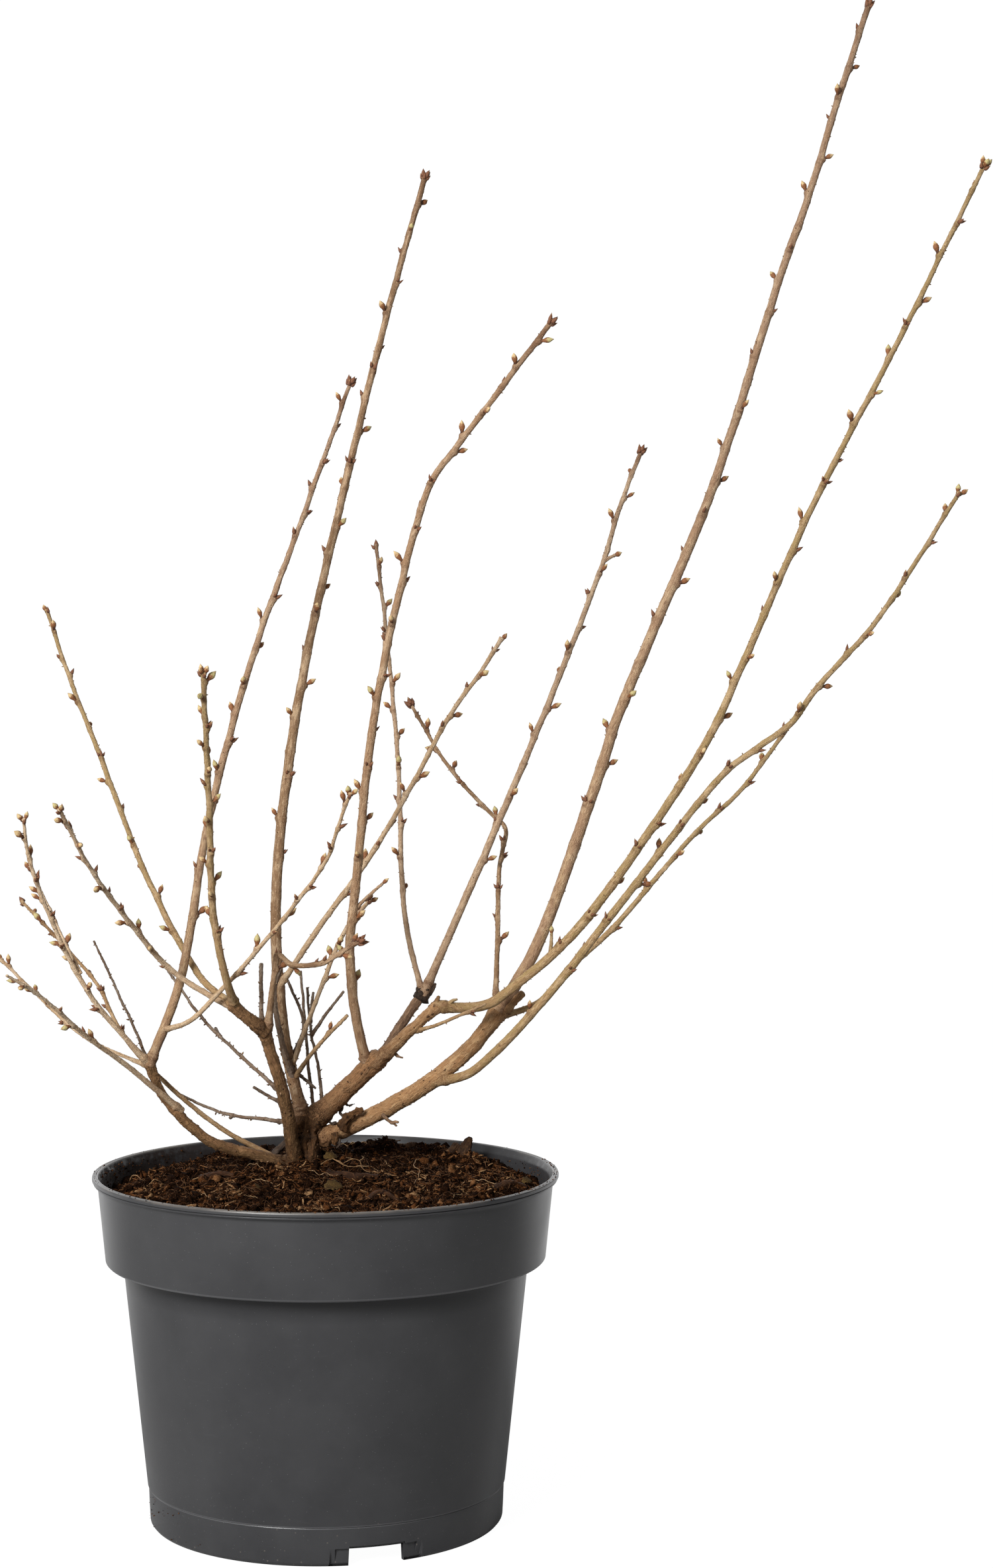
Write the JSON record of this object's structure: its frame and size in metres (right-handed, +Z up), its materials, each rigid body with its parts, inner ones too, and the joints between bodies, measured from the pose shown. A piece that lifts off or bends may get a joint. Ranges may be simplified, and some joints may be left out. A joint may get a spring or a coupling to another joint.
{
  "type": "potted flowering cherry shrub in winter",
  "caption": "Bare, many-stemmed flowering cherry shrub with buds, leaning to one side, in a round dark grey nursery pot filled with peat.",
  "frame": {"origin": "middle of the pot's flat underside, on the ground", "axes": "+Z up along the pot's axis, +Y to the back, +X to the side that the tallest shoot leans to"},
  "size_m": [0.465, 0.2253, 0.7505],
  "materials": {
    "pot_plastic": "satin",
    "peat": "matte",
    "old_bark": "matte",
    "bough_bark": "matte",
    "shoot_bark": "matte",
    "dead_bark": "matte"
  },
  "bodies": {
    "root": {"pot": "pot_plastic", "soil": "peat", "root_crown": "old_bark", "front_bough": "bough_bark", "front_arm": "bough_bark", "left_bough": "bough_bark", "middle_bough": "bough_bark", "tan_branch": "bough_bark", "dark_branch": "bough_bark", "right_bough": "bough_bark", "far_left_shoot": "shoot_bark", "far_left_side_shoot": "shoot_bark", "far_left_back_shoot": "shoot_bark", "low_left_branch": "shoot_bark", "low_left_twig": "shoot_bark", "left_tall_shoot": "shoot_bark", "thin_diagonal_shoot": "shoot_bark", "lower_left_shoot": "shoot_bark", "left_middle_shoot": "shoot_bark", "budded_upright_shoot": "shoot_bark", "curved_front_shoot": "shoot_bark", "centre_tall_shoot": "shoot_bark", "long_diagonal_shoot": "shoot_bark", "tan_green_shoot": "shoot_bark", "slanting_twig": "shoot_bark", "kinked_centre_shoot": "shoot_bark", "thin_centre_shoot": "shoot_bark", "right_middle_shoot": "shoot_bark", "right_tall_shoot": "shoot_bark", "crossing_shoot": "shoot_bark", "tallest_shoot": "shoot_bark", "outer_right_shoot": "shoot_bark", "outer_side_shoot": "shoot_bark", "dead_left_twig": "dead_bark", "dark_low_twig": "dead_bark", "dead_long_twig": "dead_bark", "stub_twig": "dead_bark", "broken_dark_twig": "dead_bark", "cut_twig": "dead_bark", "bent_dead_twig": "dead_bark", "back_dead_twig": "dead_bark", "forked_dead_twig": "dead_bark", "cross_twig": "dead_bark", "tan_side_twig": "shoot_bark", "cut_stub": "dead_bark"}
  },
  "joints": []
}
